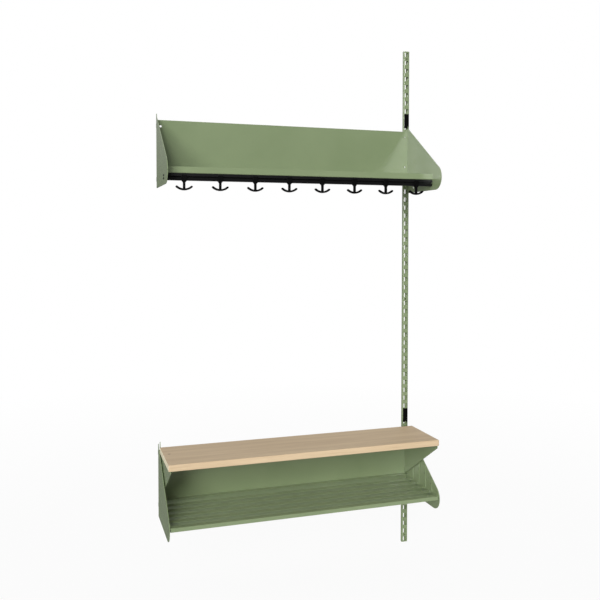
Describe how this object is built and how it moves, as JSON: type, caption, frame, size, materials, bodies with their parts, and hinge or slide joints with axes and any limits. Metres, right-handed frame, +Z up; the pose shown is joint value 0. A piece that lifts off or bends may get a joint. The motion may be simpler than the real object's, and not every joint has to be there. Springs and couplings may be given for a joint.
{
  "type": "changing room bench",
  "caption": "End section of a wall-hung changing room bench: wooden seat, slatted shoe shelf, hat shelf and coat rail with sliding hooks, on a slotted upright.",
  "frame": {"origin": "on the front face of the upright, at the middle one of its three wall screw holes", "axes": "+X to the right along the wall, -Y out of the front into the room, +Z up along the upright; the wall plane is at Y = +12 mm"},
  "size_m": [0.9145, 0.267, 1.8],
  "materials": {
    "green_powder_coat": "satin powder coat, pale grey-green",
    "black_rail": "satin black",
    "hook_plastic": "moulded, satin black",
    "black_plastic": "moulded, fine grain",
    "black_screws": "black coated",
    "zinc_screws": "zinc plated",
    "lacquered_wood": "clear satin lacquer"
  },
  "bodies": {
    "section": {"wall_upright": "green_powder_coat", "hat_gable_left": "green_powder_coat", "hat_gable_right": "green_powder_coat", "hat_tray": "green_powder_coat", "shoe_gable_left": "green_powder_coat", "shoe_gable_right": "green_powder_coat", "shoe_back_panel": "green_powder_coat", "seat_bracket_left": "green_powder_coat", "seat_bracket_right": "green_powder_coat", "shoe_slat_1": "green_powder_coat", "shoe_slat_2": "green_powder_coat", "shoe_slat_3": "green_powder_coat", "shoe_slat_4": "green_powder_coat", "shoe_slat_5": "green_powder_coat", "coat_rail": "black_rail", "rail_screws": "black_screws", "seat_board": "lacquered_wood", "seat_screws": "zinc_screws", "lock_clip_upper": "black_plastic", "lock_clip_lower": "black_plastic"},
    "hook_1_body": {"hook_1": "hook_plastic"},
    "hook_2_body": {"hook_2": "hook_plastic"},
    "hook_3_body": {"hook_3": "hook_plastic"},
    "hook_4_body": {"hook_4": "hook_plastic"},
    "hook_5_body": {"hook_5": "hook_plastic"},
    "hook_6_body": {"hook_6": "hook_plastic"},
    "hook_7_body": {"hook_7": "hook_plastic"},
    "hook_8_body": {"hook_8": "hook_plastic"}
  },
  "joints": [
    {"name": "hook_1_slide", "type": "slide", "parent": "section", "child": "hook_1_body", "axis": [1, 0, 0], "range_m": [-0.029, 0.029]},
    {"name": "hook_2_slide", "type": "slide", "parent": "section", "child": "hook_2_body", "axis": [1, 0, 0], "range_m": [-0.029, 0.029]},
    {"name": "hook_3_slide", "type": "slide", "parent": "section", "child": "hook_3_body", "axis": [1, 0, 0], "range_m": [-0.029, 0.029]},
    {"name": "hook_4_slide", "type": "slide", "parent": "section", "child": "hook_4_body", "axis": [1, 0, 0], "range_m": [-0.029, 0.029]},
    {"name": "hook_5_slide", "type": "slide", "parent": "section", "child": "hook_5_body", "axis": [1, 0, 0], "range_m": [-0.029, 0.029]},
    {"name": "hook_6_slide", "type": "slide", "parent": "section", "child": "hook_6_body", "axis": [1, 0, 0], "range_m": [-0.029, 0.029]},
    {"name": "hook_7_slide", "type": "slide", "parent": "section", "child": "hook_7_body", "axis": [1, 0, 0], "range_m": [-0.029, 0.029]},
    {"name": "hook_8_slide", "type": "slide", "parent": "section", "child": "hook_8_body", "axis": [1, 0, 0], "range_m": [-0.029, 0.029]}
  ]
}
